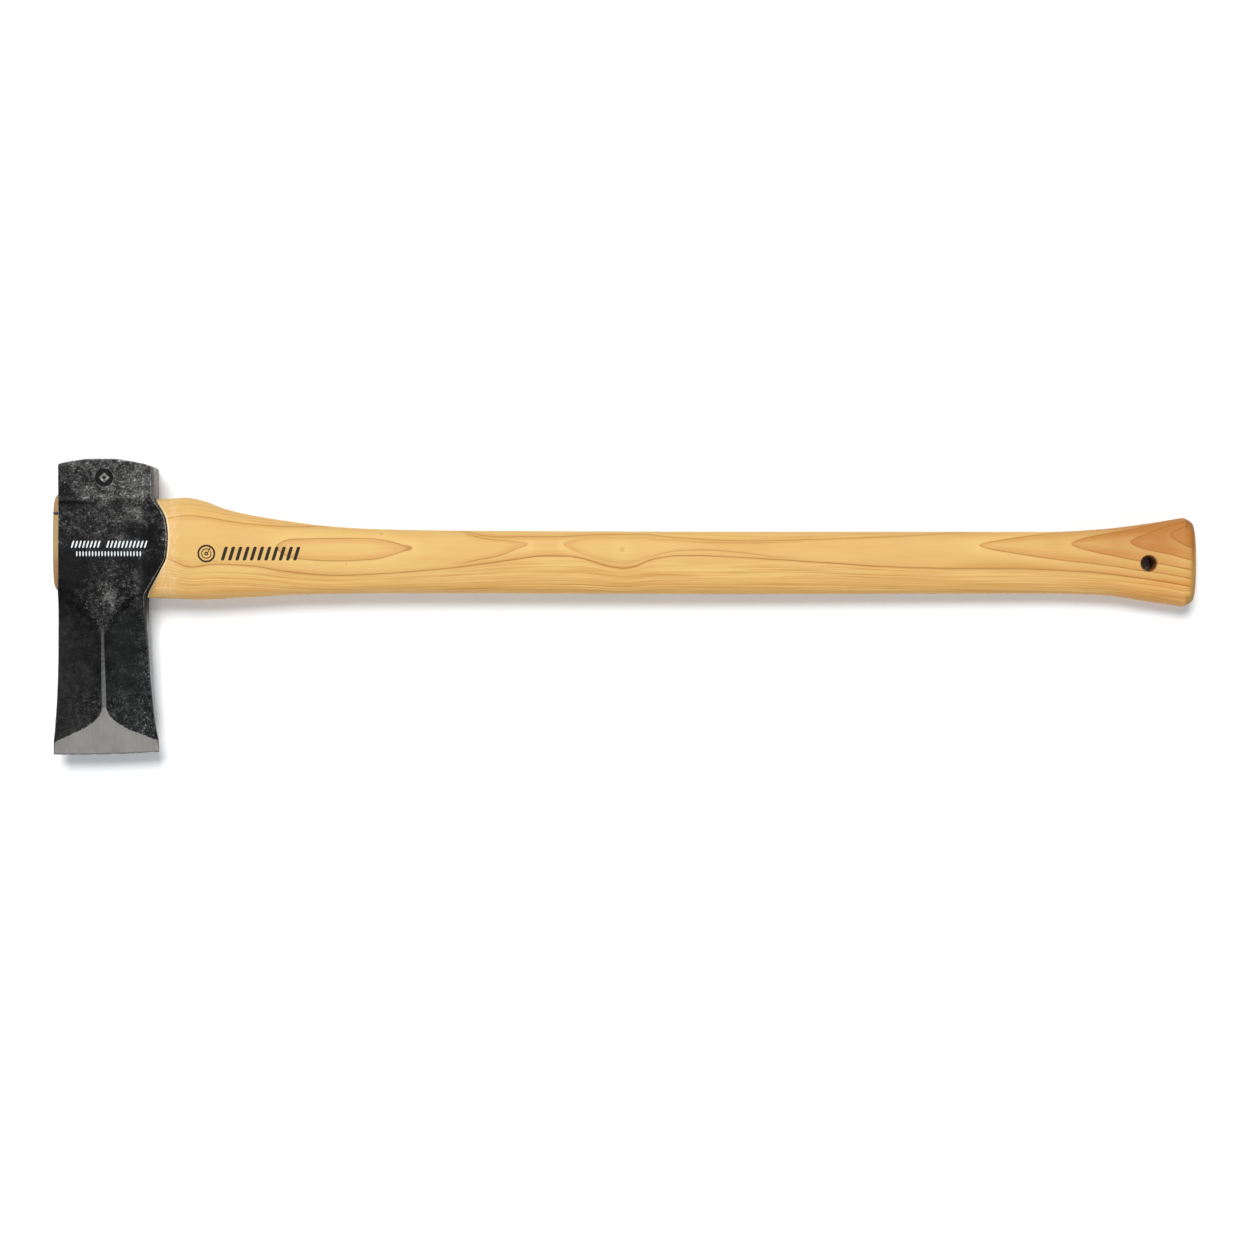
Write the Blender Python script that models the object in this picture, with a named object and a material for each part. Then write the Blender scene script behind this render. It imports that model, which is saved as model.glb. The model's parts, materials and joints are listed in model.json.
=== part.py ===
"""A splitting maul at its real size, in metres: a forged steel head with an eye, a hickory handle whose tongue
fills the eye, the wooden wedge driven into the tongue's saw kerf, and the steel wedge driven across it.

Design frame: +X runs down the handle to the knob, +Y runs from the cutting edge to the poll, and +Z is across
the maul. Its origin is on the mid-plane, at the middle of the head's width and the height of the grip's axis.
The whole maul hangs on one empty, which lays it on the floor on one cheek and the knob.
"""

import math
from bisect import bisect_right

import bmesh
import bpy
from mathutils import Matrix, Vector

MM = 0.001

# Overall
TONGUE_TOP_X = -38.0 * MM
KNOB_END_X = 759.6 * MM
FIT_GAP = 0.3 * MM

# Head
POLL_Y = 71.9 * MM
POLL_FOOT_Y = 46.2 * MM
EDGE_Y = -134.0 * MM
CHEEK_HALF = 22.5 * MM
CORNER = 1.6 * MM
POLL_CORNER = 1.8 * MM
RIDGE_X = -1.8 * MM
RIDGE_HALF_WIDTH = 1.3 * MM
RIDGE_FLANK = 0.24
RIDGE_FLANK_POWER = 8
HOLLOW_DISH = 1.5 * MM
HOLLOW_DISH_END_Y = -112.0 * MM
HOLLOW_DISH_FULL_Y = -88.0 * MM
HOLLOW_TOP_Y = -45.0 * MM
HOLLOW_RISE = 29.0 * MM
HOLLOW_BLEND = 12.0 * MM
LUG_START_X = 24.0 * MM
LUG_RIM_X = 43.0 * MM
LUG_DROP = 3.9 * MM
LUG_BLEND = 12.0 * MM
WAIST_Y = -25.0 * MM
STEP_Y = 42.4 * MM
STEP_DEPTH = 0.6 * MM
STEP_FROM_X = -10.0 * MM
STEP_WIDTH = 6.0 * MM
STEP_FADE_Y = (-30.0 * MM, 10.0 * MM)
GRIND_ANGLE = math.radians(15.0)
EDGE_HALF = 0.25 * MM
EDGE_LOW_X = -22.0 * MM
EDGE_RISE = 2.1 * MM
EDGE_RISE_FROM_Y = -100.0 * MM
STAMP_CENTRE = (0.0 * MM, 58.6 * MM)
STAMP_RADIUS = 6.6 * MM
STAMP_DEPTH = 0.9 * MM

# Head outline in side view, as (Y, X) in millimetres, from the cutting edge to the poll
CROWN_SIDE = [(-134, -38.3), (-125, -38.0), (-113, -37.0), (-85, -34.8), (-65, -34.0), (-27, -33.2),
              (-8, -32.3), (72, -32.2)]
GRIP_SIDE = [(-134, 35.5), (-128, 35.2), (-110, 32.8), (-70, 29.3), (-25, 27.0), (-16, 31.3), (-5.5, 37.3),
             (4, 41.8), (18, 43.0), (30, 41.5), (36, 38.7), (42.5, 34.4), (46.2, 32.7), (72, 32.7)]
# Half thickness before the edge is ground, as (Y, Z), on the middle ridge and along the two sides
RIDGE_HALF = [(-134, 4.2), (-102, 8.9), (-70, 14.3), (-47, 17.9), (-27, 20.6), (-12, 22.5)]
SIDE_HALF = [(-134, 1.4), (-126, 2.45), (-102, 5.5), (-70, 9.6), (-47, 12.4), (-27, 14.6), (-8, 22.5)]
# How far the poll's face falls away from its flat middle, as (X, drop)
POLL_CROWN = [(-33, 3.6), (-23, 1.5), (-9, 0.0), (5.4, 0.0), (18.5, 1.6), (27, 3.3), (33, 4.9)]

# Eye and tongue, as (X, middle Y, half length, half width)
EYE = [(-60, 14.6, 35.4, 14.6), (-32.5, 14.1, 34.7, 13.8), (0, 12.7, 33.2, 12.7), (43, 11.6, 32.3, 13.2),
       (70, 11.6, 32.3, 13.8)]
EYE_POWER = 2.25
TONGUE_ROOT_X = 62.0 * MM
# The tongue's crowned top, as (depth below the top, inset from its outline)
TONGUE_CROWN = [(0.0, 10.0), (0.4, 6.0), (1.3, 3.0), (2.6, 1.2), (4.4, 0.3), (6.5, 0.0)]

# Handle outline in side view, as (X, Y), its half thickness, and how square its section is
BACK_LINE = [(20, 44.0), (42, 44.8), (54, 45.6), (66, 43.4), (81, 37.9), (99, 33.5), (125, 29.3), (151, 25.9),
             (186, 23.7), (256, 22.5), (449, 21.9), (659, 21.9), (694, 23.7), (729, 28.0), (752, 31.8)]
BELLY_LINE = [(20, -24.0), (48, -25.3), (64, -25.6), (99, -24.0), (134, -22.2), (204, -21.2), (449, -21.9),
              (650, -21.4), (694, -22.5), (729, -27.3), (752, -30.7)]
GRIP_HALF = [(20, 14.6), (46, 17.0), (56, 17.6), (75, 17.0), (100, 15.8), (180, 14.2), (300, 14.0), (650, 14.0),
             (700, 14.7), (752, 15.6)]
GRIP_POWER = 2.45
GRIP_START_X = 20.0 * MM
GRIP_STRAIGHT_X = (200.0 * MM, 650.0 * MM)
# The knob's slightly domed end and its chamfer, as (depth below the end, inset from its outline)
KNOB_END = [(0.0, 24.0), (0.3, 13.0), (0.9, 6.4), (1.9, 3.7), (7.2, 0.45), (8.2, 0.08), (9.5, 0.0)]

# Hang hole through the knob
HANG_X = 725.5 * MM
HANG_Y = -0.5 * MM
HANG_RADIUS = 5.2 * MM
HANG_FLARE = 1.0 * MM
KNOB_HALF = 15.2 * MM

# Wedges
WEDGE_TOP_THICKNESS = 5.2 * MM
WEDGE_TIP_THICKNESS = 1.4 * MM
WEDGE_LENGTH = 49.0 * MM
STEEL_Y = 34.3 * MM
STEEL_TOP_THICKNESS = 1.7 * MM
STEEL_TIP_THICKNESS = 0.6 * MM
STEEL_LENGTH = 31.0 * MM
STEEL_HALF_WIDTH = 9.6 * MM
STEEL_SET_BACK = 0.9 * MM

# The contact points that the maul lies on
REST_CHEEK_X = 31.0 * MM
REST_KNOB_X = 748.0 * MM

MATERIALS = {
    "forged_steel": ((0.045, 0.043, 0.042), 0.48, 0.9),
    "hickory": ((0.83, 0.52, 0.21), 0.42, 0.0),
    "wedge_wood": ((0.66, 0.42, 0.20), 0.6, 0.0),
    "wedge_steel": ((0.30, 0.29, 0.28), 0.4, 1.0),
}


def smooth_through(points):
    """A function that runs smoothly through (position, value) points given in millimetres, with no overshoot."""
    places = [place * MM for place, _ in points]
    values = [value * MM for _, value in points]
    count = len(points)
    rises = [(values[i + 1] - values[i]) / (places[i + 1] - places[i]) for i in range(count - 1)]
    slopes = [rises[0]] + [0.0] * (count - 2) + [rises[-1]]
    for i in range(1, count - 1):
        if rises[i - 1] * rises[i] > 0:
            slopes[i] = 2 * rises[i - 1] * rises[i] / (rises[i - 1] + rises[i])

    def value_at(place):
        if place <= places[0]:
            return values[0]
        if place >= places[-1]:
            return values[-1]
        i = bisect_right(places, place) - 1
        width = places[i + 1] - places[i]
        t = (place - places[i]) / width
        return (values[i] * (1 + 2 * t) * (1 - t) ** 2 + values[i + 1] * t * t * (3 - 2 * t)
                + width * t * (1 - t) * (slopes[i] * (1 - t) - slopes[i + 1] * t))

    return value_at


def smoothstep(t):
    t = min(1.0, max(0.0, t))
    return t * t * (3 - 2 * t)


def evenly(start, end, count):
    return [start + (end - start) * i / (count - 1) for i in range(count)]


crown_side = smooth_through(CROWN_SIDE)
grip_side = smooth_through(GRIP_SIDE)
ridge_half = smooth_through(RIDGE_HALF)
side_half = smooth_through(SIDE_HALF)
poll_drop = smooth_through(POLL_CROWN)
eye_middle = smooth_through([(x, middle) for x, middle, _, _ in EYE])
eye_length = smooth_through([(x, length) for x, _, length, _ in EYE])
eye_width = smooth_through([(x, width) for x, _, _, width in EYE])
back_line = smooth_through(BACK_LINE)
belly_line = smooth_through(BELLY_LINE)
grip_half = smooth_through(GRIP_HALF)


def new_object(name, bm):
    """The bmesh as a named object of one closed mesh, smooth shaded apart from its sharp edges."""
    bmesh.ops.recalc_face_normals(bm, faces=bm.faces)
    mesh = bpy.data.meshes.new(name)
    bm.to_mesh(mesh)
    bm.free()
    mesh.shade_smooth()
    mesh.set_sharp_from_angle(angle=math.radians(35))
    obj = bpy.data.objects.new(name, mesh)
    bpy.context.scene.collection.objects.link(obj)
    return obj


def loft(name, rings, strip_caps=False):
    """A closed mesh through rings with equal numbers of points. A strip cap joins a ring's two halves in quads."""
    bm = bmesh.new()
    loops = [[bm.verts.new(point) for point in ring] for ring in rings]
    count = len(loops[0])
    for near, far in zip(loops, loops[1:]):
        for i in range(count):
            j = (i + 1) % count
            bm.faces.new((near[i], near[j], far[j], far[i]))
    for loop in (loops[0], loops[-1]):
        if not strip_caps:
            bm.faces.new(loop)
            continue
        for i in range(count // 2 - 1):
            bm.faces.new((loop[i], loop[i + 1], loop[count - 2 - i], loop[count - 1 - i]))
    return new_object(name, bm)


def boolean(target, other, operation):
    """Cuts, joins or keeps what is common, and turns the other object into a hidden helper."""
    modifier = target.modifiers.new(f"{operation.lower()}_{other.name}", "BOOLEAN")
    modifier.operation = operation
    modifier.solver = "EXACT"
    modifier.object = other
    other.hide_render = True
    other.display_type = "WIRE"


def give_material(obj, name):
    color, roughness, metallic = MATERIALS[name]
    material = bpy.data.materials.new(name)
    material.use_nodes = True
    shader = material.node_tree.nodes["Principled BSDF"]
    shader.inputs["Base Color"].default_value = (*color, 1.0)
    shader.inputs["Roughness"].default_value = roughness
    shader.inputs["Metallic"].default_value = metallic
    obj.data.materials.append(material)


# Head

def head_half_thickness(x, y):
    """Half thickness of the unground head: flat cheeks, thinner lugs, and a ridge between two hollows."""
    side = grip_side(y) if x > RIDGE_X else crown_side(y)
    span = abs(side - RIDGE_X) - RIDGE_HALF_WIDTH
    out = min(1.0, max(0.0, (abs(x - RIDGE_X) - RIDGE_HALF_WIDTH) / span))
    weight = smoothstep((HOLLOW_TOP_Y + HOLLOW_RISE * out * (2 - out) - y) / HOLLOW_BLEND)
    share = (1 - RIDGE_FLANK) * out + RIDGE_FLANK * (1 - (1 - out) ** RIDGE_FLANK_POWER)
    dish = HOLLOW_DISH * smoothstep((y - HOLLOW_DISH_END_Y) / (HOLLOW_DISH_FULL_Y - HOLLOW_DISH_END_Y))
    hollow = weight * ((ridge_half(y) - side_half(y)) * share + dish * math.sin(math.pi * out))
    lug = LUG_DROP * smoothstep((x - LUG_START_X) / (LUG_RIM_X - LUG_START_X))
    lug *= smoothstep((y - WAIST_Y) / LUG_BLEND) * smoothstep((POLL_FOOT_Y - y) / CORNER)
    step = STEP_DEPTH * smoothstep((STEP_FROM_X - x) / STEP_WIDTH) * smoothstep((STEP_Y - y) / CORNER)
    step *= smoothstep((y - STEP_FADE_Y[0]) / (STEP_FADE_Y[1] - STEP_FADE_Y[0]))
    return ridge_half(y) - hollow - lug - step


def head_ring(y, inset=0.0, grow=0.0):
    """One section across the head. The poll's crown and the edge's curve lift or lower its points along Y."""
    left = crown_side(y) + inset - grow
    right = grip_side(y) - inset + grow
    crest = RIDGE_HALF_WIDTH
    columns = [left, left + CORNER]
    columns += evenly(left + CORNER, RIDGE_X - crest, 7)[1:]
    columns += [RIDGE_X, RIDGE_X + crest]
    columns += evenly(RIDGE_X + crest, right - CORNER, 7)[1:]
    columns.append(right)
    crowning = smoothstep((y - POLL_FOOT_Y) / (POLL_Y - POLL_FOOT_Y))
    curving = smoothstep((EDGE_RISE_FROM_Y - y) / (EDGE_RISE_FROM_Y - EDGE_Y))
    front = []
    for i, x in enumerate(columns):
        reach = (x - EDGE_LOW_X) / (grip_side(EDGE_Y) - EDGE_LOW_X)
        place = y - poll_drop(x) * crowning + EDGE_RISE * reach * reach * curving
        half = head_half_thickness(x, y) - inset + grow
        if i in (0, len(columns) - 1):
            half -= min(CORNER, 0.4 * half)
        front.append((x, place, half))
    back = [(x, place, -half) for x, place, half in reversed(front)]
    return front + back


def head_blank(name, grow=0.0):
    """The head before its eye, edge and stamp are cut, or the same shape a little larger all round."""
    foot = [POLL_FOOT_Y, POLL_FOOT_Y - 0.5 * CORNER, POLL_FOOT_Y - CORNER]
    stations = evenly(EDGE_Y, HOLLOW_TOP_Y, 22) + evenly(HOLLOW_TOP_Y, -26.0 * MM, 8)[1:]
    stations += evenly(-26.0 * MM, STEP_Y - CORNER, 22)[1:] + [STEP_Y - 0.5 * CORNER, STEP_Y] + foot[::-1]
    stations += [POLL_FOOT_Y + 8.0 * MM, POLL_Y - 8.0 * MM, POLL_Y - POLL_CORNER]
    rings = [head_ring(y, grow=grow) for y in stations]
    rings.append(head_ring(POLL_Y, inset=POLL_CORNER, grow=grow))
    return loft(name, rings, strip_caps=True)


def superellipse(x, middle, half_height, half_width, power, count):
    """A closed ring in the plane X = x, from an ellipse at power 2 towards a rectangle as the power grows."""
    ring = []
    for i in range(count):
        angle = 2 * math.pi * i / count
        c, s = math.cos(angle), math.sin(angle)
        y = middle + half_height * math.copysign(abs(s) ** (2 / power), s)
        z = half_width * math.copysign(abs(c) ** (2 / power), c)
        ring.append((x, y, z))
    return ring


def eye_ring(x, inset=0.0, count=40):
    return superellipse(x, eye_middle(x), eye_length(x) - inset, eye_width(x) - inset, EYE_POWER, count)


def grinding_cutter(side):
    """A block whose lower face is the plane that one side of the edge is ground to."""
    length, depth, height = 100.0 * MM, 70.0 * MM, 25.0 * MM
    bm = bmesh.new()
    bmesh.ops.create_cube(bm, size=1.0)
    bmesh.ops.scale(bm, verts=bm.verts, vec=(length, depth, height))
    bmesh.ops.translate(bm, verts=bm.verts, vec=(0.0, depth / 2 - 8.0 * MM, height / 2))
    bmesh.ops.rotate(bm, verts=bm.verts, matrix=Matrix.Rotation(GRIND_ANGLE, 3, "X"))
    bmesh.ops.translate(bm, verts=bm.verts, vec=(RIDGE_X, EDGE_Y, EDGE_HALF))
    if side < 0:
        bmesh.ops.scale(bm, verts=bm.verts, vec=(1.0, 1.0, -1.0))
        bmesh.ops.reverse_faces(bm, faces=bm.faces)
    return new_object("grind_front" if side > 0 else "grind_back", bm)


def stamp_cutter():
    """A shallow round punch mark in the front of the poll."""
    bm = bmesh.new()
    bmesh.ops.create_cone(bm, cap_ends=True, segments=20, radius1=STAMP_RADIUS - STAMP_DEPTH,
                          radius2=STAMP_RADIUS + STAMP_DEPTH, depth=2 * STAMP_DEPTH)
    bmesh.ops.translate(bm, verts=bm.verts, vec=(*STAMP_CENTRE, CHEEK_HALF))
    return new_object("stamp_cutter", bm)


def make_head():
    head = head_blank("maul_head")
    boolean(head, grinding_cutter(1), "DIFFERENCE")
    boolean(head, grinding_cutter(-1), "DIFFERENCE")
    eye = loft("eye_cutter", [eye_ring(x) for x in evenly(-50.0 * MM, 60.0 * MM, 12)])
    boolean(head, eye, "DIFFERENCE")
    boolean(head, stamp_cutter(), "DIFFERENCE")
    give_material(head, "forged_steel")
    return head


# Handle

def grip_ring(x, inset=0.0, count=40):
    top, bottom = back_line(x), belly_line(x)
    half_height = (top - bottom) / 2 - inset
    half_width = grip_half(x) - inset * grip_half(x) / ((top - bottom) / 2)
    return superellipse(x, (top + bottom) / 2, half_height, half_width, GRIP_POWER, count)


def grip_blank():
    """Neck, grip and knob, from inside the head to the knob's domed end."""
    shoulder = KNOB_END_X - KNOB_END[-1][0] * MM
    stations = evenly(GRIP_START_X, GRIP_STRAIGHT_X[0], 26)[:-1] + evenly(*GRIP_STRAIGHT_X, 9)
    stations += evenly(GRIP_STRAIGHT_X[1], shoulder, 12)[1:-1]
    rings = [grip_ring(x) for x in stations]
    rings += [grip_ring(KNOB_END_X - depth * MM, inset * MM) for depth, inset in reversed(KNOB_END)]
    return loft("handle", rings)


def tongue_blank(name):
    """The tongue that fills the eye, standing proud of the head with a crowned top."""
    crown = [(TONGUE_TOP_X + depth * MM, FIT_GAP + inset * MM) for depth, inset in TONGUE_CROWN]
    rings = [eye_ring(x, inset) for x, inset in crown]
    rings += [eye_ring(x, FIT_GAP) for x in evenly(crown[-1][0], TONGUE_ROOT_X, 12)[1:]]
    return loft(name, rings)


def tapered_slab(name, middle, top, tip, start_x, end_x, reach, across):
    """A slab that thins from start_x to end_x. Its broad faces look along Z, or along Y if across is set."""
    corners = []
    for x, thickness in ((start_x, top), (end_x, tip)):
        half = thickness / 2
        if across:
            corners.append([(x, middle + a, b) for a, b in
                            ((-half, -reach), (half, -reach), (half, reach), (-half, reach))])
        else:
            corners.append([(x, middle + b, a) for a, b in
                            ((-half, -reach), (half, -reach), (half, reach), (-half, reach))])
    return loft(name, corners)


def wedge_slab(name, gap):
    """The wooden wedge's taper, or the kerf around it where gap is set, running out past the tongue's top."""
    run_out = 4.0 * MM
    taper = (WEDGE_TOP_THICKNESS - WEDGE_TIP_THICKNESS) / WEDGE_LENGTH
    top = WEDGE_TOP_THICKNESS + taper * run_out + 2 * gap
    return tapered_slab(name, eye_middle(0.0), top, WEDGE_TIP_THICKNESS + 2 * gap, TONGUE_TOP_X - run_out,
                        TONGUE_TOP_X + WEDGE_LENGTH + 4 * gap, 45.0 * MM, across=False)


def steel_slab(name, gap):
    """The steel wedge, or the split that it opens in the tongue where gap is set."""
    run_out = 4.0 * MM if gap else 0.0
    taper = (STEEL_TOP_THICKNESS - STEEL_TIP_THICKNESS) / STEEL_LENGTH
    top = STEEL_TOP_THICKNESS + taper * run_out + 2 * gap
    start_x = TONGUE_TOP_X + STEEL_SET_BACK
    reach = STEEL_HALF_WIDTH if not gap else 20.0 * MM
    return tapered_slab(name, STEEL_Y, top, STEEL_TIP_THICKNESS + 2 * gap, start_x - run_out,
                        start_x + STEEL_LENGTH + 2 * gap, reach, across=True)


def hang_hole_cutter():
    """The hole through the knob, with its mouth eased on both sides."""
    reach = KNOB_HALF + 6.0 * MM
    flare_start = KNOB_HALF - HANG_FLARE
    profile = [(-reach, HANG_RADIUS + reach - flare_start), (-flare_start, HANG_RADIUS),
               (flare_start, HANG_RADIUS), (reach, HANG_RADIUS + reach - flare_start)]
    rings = []
    for z, radius in profile:
        rings.append([(HANG_X + radius * math.cos(2 * math.pi * i / 24),
                       HANG_Y + radius * math.sin(2 * math.pi * i / 24), z) for i in range(24)])
    return loft("hang_hole_cutter", rings)


def make_handle():
    handle = grip_blank()
    boolean(handle, head_blank("head_clearance", grow=FIT_GAP), "DIFFERENCE")
    boolean(handle, tongue_blank("tongue"), "UNION")
    boolean(handle, wedge_slab("kerf_cutter", FIT_GAP), "DIFFERENCE")
    boolean(handle, steel_slab("steel_split_cutter", FIT_GAP), "DIFFERENCE")
    boolean(handle, hang_hole_cutter(), "DIFFERENCE")
    give_material(handle, "hickory")
    return handle


# Wedges

def make_wooden_wedge():
    wedge = wedge_slab("wooden_wedge", 0.0)
    boolean(wedge, tongue_blank("tongue_outline"), "INTERSECT")
    boolean(wedge, steel_slab("steel_split_in_wedge", FIT_GAP), "DIFFERENCE")
    give_material(wedge, "wedge_wood")
    return wedge


def make_steel_wedge():
    wedge = steel_slab("steel_wedge", 0.0)
    give_material(wedge, "wedge_steel")
    return wedge


# Assembly

def lay_down(parts):
    """Parents everything to one empty, tips it onto one cheek and the knob, and centres it over the origin."""
    rest = bpy.data.objects.new("maul_at_rest", None)
    bpy.context.scene.collection.objects.link(rest)
    for obj in bpy.data.objects:
        if obj.type == "MESH":
            obj.parent = rest
    tilt = math.atan2(CHEEK_HALF - grip_half(REST_KNOB_X), REST_KNOB_X - REST_CHEEK_X)
    rest.rotation_euler = (0.0, tilt, 0.0)
    bpy.context.view_layer.update()
    graph = bpy.context.evaluated_depsgraph_get()
    points = []
    for part in parts:
        evaluated = part.evaluated_get(graph)
        points += [evaluated.matrix_world @ vertex.co for vertex in evaluated.data.vertices]
    low = Vector([min(point[axis] for point in points) for axis in range(3)])
    high = Vector([max(point[axis] for point in points) for axis in range(3)])
    rest.location = (-(low.x + high.x) / 2, -(low.y + high.y) / 2, -low.z)
    bpy.context.view_layer.update()


def main():
    for obj in list(bpy.data.objects):
        bpy.data.objects.remove(obj)
    lay_down([make_head(), make_handle(), make_wooden_wedge(), make_steel_wedge()])


main()
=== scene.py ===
"""The splitting maul's looks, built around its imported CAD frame.

Shapes are worked out in the design frame, in millimetres: +X runs down the handle to the knob, +Y runs from
the cutting edge to the poll, and +Z is across the maul. Its origin is on the mid-plane, at the middle of the
head's width and the height of the grip's axis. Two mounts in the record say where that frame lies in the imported
model. Each piece keeps its design coordinates in the point attribute "design", which its material reads.
"""

import itertools
import json
import math
from types import SimpleNamespace

import bpy
import numpy as np
from mathutils import Matrix, Vector
from mathutils.bvhtree import BVHTree


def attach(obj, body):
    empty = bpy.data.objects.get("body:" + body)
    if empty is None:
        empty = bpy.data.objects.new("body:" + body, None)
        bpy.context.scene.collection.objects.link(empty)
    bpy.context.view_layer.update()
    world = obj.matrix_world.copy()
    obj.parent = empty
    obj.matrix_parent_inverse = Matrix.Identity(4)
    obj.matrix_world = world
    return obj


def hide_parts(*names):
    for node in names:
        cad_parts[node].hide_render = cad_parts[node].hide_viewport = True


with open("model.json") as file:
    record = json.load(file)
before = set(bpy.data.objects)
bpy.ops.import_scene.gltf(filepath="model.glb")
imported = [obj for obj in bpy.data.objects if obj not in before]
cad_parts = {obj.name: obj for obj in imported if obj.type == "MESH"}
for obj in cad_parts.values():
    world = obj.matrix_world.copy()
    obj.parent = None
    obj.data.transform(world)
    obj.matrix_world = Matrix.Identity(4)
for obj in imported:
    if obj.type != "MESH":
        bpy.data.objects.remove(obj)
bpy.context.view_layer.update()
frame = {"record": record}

# Head, as in the CAD model
EDGE_Y = -134.0
POLL_Y = 71.9
POLL_FOOT_Y = 46.2
CHEEK_HALF = 22.5
CORNER = 1.6
# How the head's surface is divided: columns beside the ridge and out to each side, rows along the blade and the
# poll, and layers through it. The rows grow finer from one height up, and the outer columns towards the sides.
HEAD_COUNTS, ROOM_COUNTS = (35, 37, 241, 52, 27), (19, 22, 120, 30, 15)
MIDDLE_HALF = 9.0
FINE_FROM_Y = 40.0
BUNCHING = 1.3
RIDGE_X = -1.8
RIDGE_HALF_WIDTH = 1.3
RIDGE_FLANK = 0.24
RIDGE_FLANK_POWER = 8
HOLLOW_DISH = 1.5
HOLLOW_DISH_ENDS_Y = (-112.0, -88.0)
HOLLOW_TOP_Y = -45.0
HOLLOW_RISE = 29.0
HOLLOW_BLEND = 12.0
LUG_START_X = 24.0
LUG_RIM_X = 43.0
LUG_DROP = 3.9
LUG_BLEND = 12.0
WAIST_Y = -25.0
STEP_DEPTH = 0.6
STEP_Y = 42.4
STEP_FROM_X = -10.0
STEP_WIDTH = 6.0
STEP_FADE_Y = (-30.0, 10.0)
GRIND_SLOPE = math.tan(math.radians(15.0))
EDGE_HALF = 0.25
EDGE_LOW_X = -22.0
EDGE_RISE = 2.1
EDGE_RISE_FROM_Y = -100.0
STAMP_X, STAMP_Y = 0.0, 58.6
STAMP_RADIUS = 6.6
STAMP_DEPTH = 0.8
# Lumps left by forging, as (depth, size), and the deeper pits
FORGE_LUMPS = [(0.30, 15.0), (0.16, 5.5), (0.07, 1.7)]
PIT_DEPTH = 0.28
NICK_DEPTH = 0.30
FIT_GAP = 0.3
NECK_GAP = 0.8

# Rubbed and dark places on the head's scale, as (X, Y, radius, how much lighter). The dark place at (9.5, 59.5)
# is a painted shadow beside the punch mark.
SCUFFS_AND_PAINTED_SHADOW = [(19, 34, 14, 0.17), (24, 54, 14, 0.08), (5, -9, 14, 0.02), (-24, -118, 12, 0.06), (-12, 22, 12, 0.03),
          (9.5, 59.5, 7, -0.10), (21, 40, 5, -0.14), (31, 20, 11, -0.09)]

# Outline of the head in side view, as (Y, X), and its half thickness on the ridge and sides, as (Y, Z)
CROWN_SIDE = [(-134, -38.3), (-125, -38), (-113, -37), (-85, -34.8), (-65, -34), (-27, -33.2),
              (-8, -32.3), (72, -32.2)]
GRIP_SIDE = [(-134, 35.5), (-128, 35.2), (-110, 32.8), (-70, 29.3), (-25, 27), (-16, 31.3), (-5.5, 37.3),
             (4, 41.8), (18, 43), (30, 41.5), (36, 38.7), (42.5, 34.4), (46.2, 32.7), (72, 32.7)]
EDGE_SPAN = GRIP_SIDE[0][1] - EDGE_LOW_X
RIDGE_HALF = [(-134, 4.2), (-102, 8.9), (-70, 14.3), (-47, 17.9), (-27, 20.6), (-12, 22.5)]
SIDE_HALF = [(-134, 1.4), (-126, 2.45), (-102, 5.5), (-70, 9.6), (-47, 12.4), (-27, 14.6), (-8, 22.5)]
# How far the poll's face falls away from its flat middle, as (X, drop)
POLL_CROWN = [(-33, 3.6), (-23, 1.5), (-9, 0), (5.4, 0), (18.5, 1.6), (27, 3.3), (33, 4.9)]

# Eye and tongue, as (X, middle Y, half length, half width)
EYE = [(-60, 14.6, 35.4, 14.6), (-32.5, 14.1, 34.7, 13.8), (0, 12.7, 33.2, 12.7), (43, 11.6, 32.3, 13.2),
       (70, 11.6, 32.3, 13.8)]
EYE_POWER = 2.25
TONGUE_TOP_X = -38.0
TONGUE_ROOT_X = 62.0
TONGUE_CROWN = [(0, 10), (0.4, 6), (1.3, 3), (2.6, 1.2), (4.4, 0.3), (6.5, 0)]

# Handle outline in side view, as (X, Y), its half thickness, and how square its section is
BACK_LINE = [(20, 44), (42, 44.8), (54, 45.6), (66, 43.4), (81, 37.9), (99, 33.5), (125, 29.3), (151, 25.9),
             (186, 23.7), (256, 22.5), (449, 21.9), (659, 21.9), (694, 23.7), (729, 28), (752, 31.8)]
BELLY_LINE = [(20, -24), (48, -25.3), (64, -25.6), (99, -24), (134, -22.2), (204, -21.2), (449, -21.9),
              (650, -21.4), (694, -22.5), (729, -27.3), (752, -30.7)]
GRIP_HALF = [(20, 14.6), (46, 17), (56, 17.6), (75, 17), (100, 15.8), (180, 14.2), (300, 14), (650, 14),
             (700, 14.7), (752, 15.6)]
GRIP_POWER = 2.45
GRIP_START_X = 20.0
KNOB_END_X = 759.6
KNOB_END = [(0, 24), (0.3, 13), (0.9, 6.4), (1.9, 3.7), (7.2, 0.45), (8.2, 0.08), (9.5, 0)]
HANG_X, HANG_Y = 725.5, -0.5
HANG_RADIUS = 5.2
HANG_FLARE = 1.1
KNOB_HALF = 15.2

# Wedges
WEDGE_TOP, WEDGE_TIP, WEDGE_LENGTH = 5.2, 1.4, 49.0
STEEL_Y = 34.3
STEEL_TOP, STEEL_TIP, STEEL_LENGTH = 1.7, 0.6, 31.0
STEEL_HALF_WIDTH = 9.6
STEEL_SET_BACK = 0.9

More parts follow.
